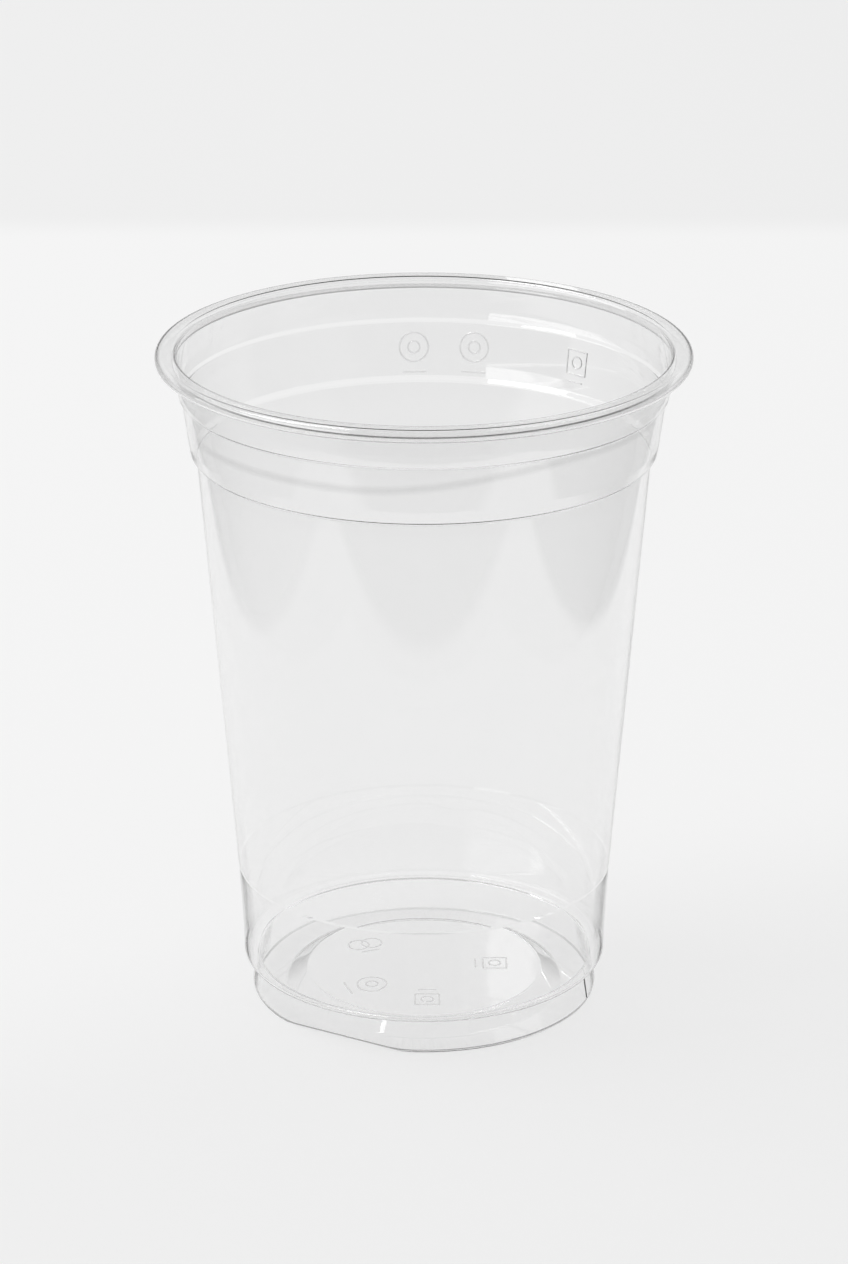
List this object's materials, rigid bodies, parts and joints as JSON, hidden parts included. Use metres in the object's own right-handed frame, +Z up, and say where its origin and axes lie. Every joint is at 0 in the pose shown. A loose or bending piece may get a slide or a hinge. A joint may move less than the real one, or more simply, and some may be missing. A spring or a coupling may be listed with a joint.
{
  "type": "plastic cup",
  "caption": "Clear disposable plastic cup for cold drinks, with a curled rim, a stepped lid band, a tapered wall and a stacking foot.",
  "frame": {"origin": "Centre of the ring that the cup stands on, at table height.", "axes": "+Z up through the mouth, -Y towards the side that faces the camera in the picture, +X to the right."},
  "size_m": [0.095, 0.095, 0.1227],
  "materials": {
    "clear_plastic": "clear and glossy, thin thermoformed sheet"
  },
  "bodies": {
    "root": {"cup": "clear_plastic"}
  },
  "joints": []
}
